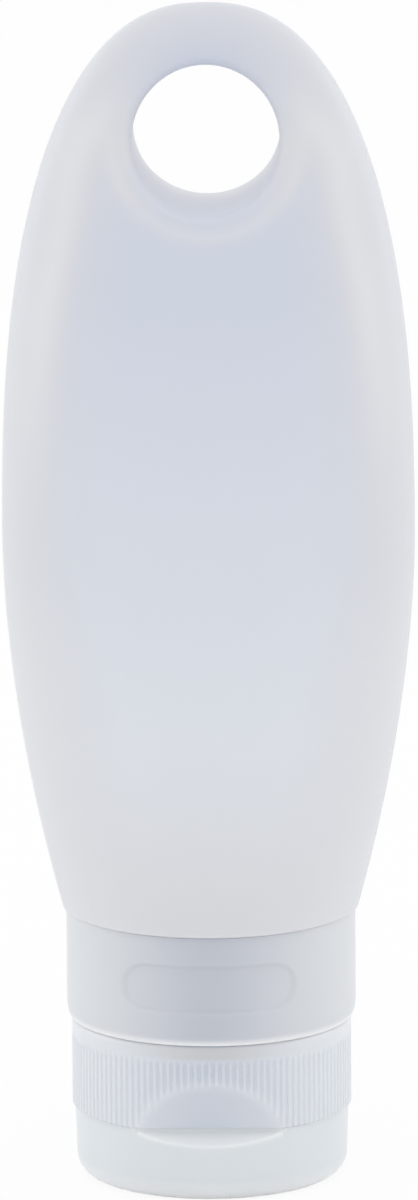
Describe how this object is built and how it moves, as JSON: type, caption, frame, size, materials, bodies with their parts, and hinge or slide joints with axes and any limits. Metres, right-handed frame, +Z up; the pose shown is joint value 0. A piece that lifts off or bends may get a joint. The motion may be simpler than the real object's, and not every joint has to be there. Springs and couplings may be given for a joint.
{
  "type": "squeeze bottle",
  "caption": "Soft frosted travel squeeze bottle standing on a ribbed flip-top screw cap, with a stiff collar and a round hanging hole through its flattened end.",
  "frame": {"origin": "middle of the lid's flat outer face, on which the bottle stands upside down", "axes": "+Z up along the bottle's axis from lid to hanging hole, -Y towards the front with the thumb notch, +X to the right seen from the front"},
  "size_m": [0.05, 0.0364, 0.1452],
  "materials": {
    "frosted_silicone": "satin frosted silicone",
    "translucent_polypropylene": "satin translucent polypropylene",
    "neck_polypropylene": "satin natural polypropylene",
    "seal_silicone": "soft clear silicone"
  },
  "bodies": {
    "cap": {"cap_base": "translucent_polypropylene", "slit_valve": "seal_silicone", "valve_retainer": "neck_polypropylene", "living_hinge": "translucent_polypropylene"},
    "lid": {"cap_lid": "translucent_polypropylene"},
    "seal": {"cap_gasket": "seal_silicone"},
    "bottle": {"neck_ring": "neck_polypropylene", "collar": "translucent_polypropylene", "bottle_body": "frosted_silicone"}
  },
  "joints": [
    {"name": "lid_flip", "type": "hinge", "parent": "cap", "child": "lid", "pos_m": [0, 0.01655, 0.0089], "axis": [1, 0, 0], "range_deg": [0, 165]},
    {"name": "bottle_turn", "type": "hinge", "parent": "cap", "child": "seal", "pos_m": [0, 0, 0.01235], "axis": [0, 0, 1], "range_deg": [0, 720]},
    {"name": "bottle_lift", "type": "slide", "parent": "seal", "child": "bottle", "axis": [0, 0, 1], "range_m": [0, 0.0085]}
  ],
  "couplings": [
    {"joint": "bottle_lift", "follows": "bottle_turn", "m_per_rad": 0.00066845}
  ]
}
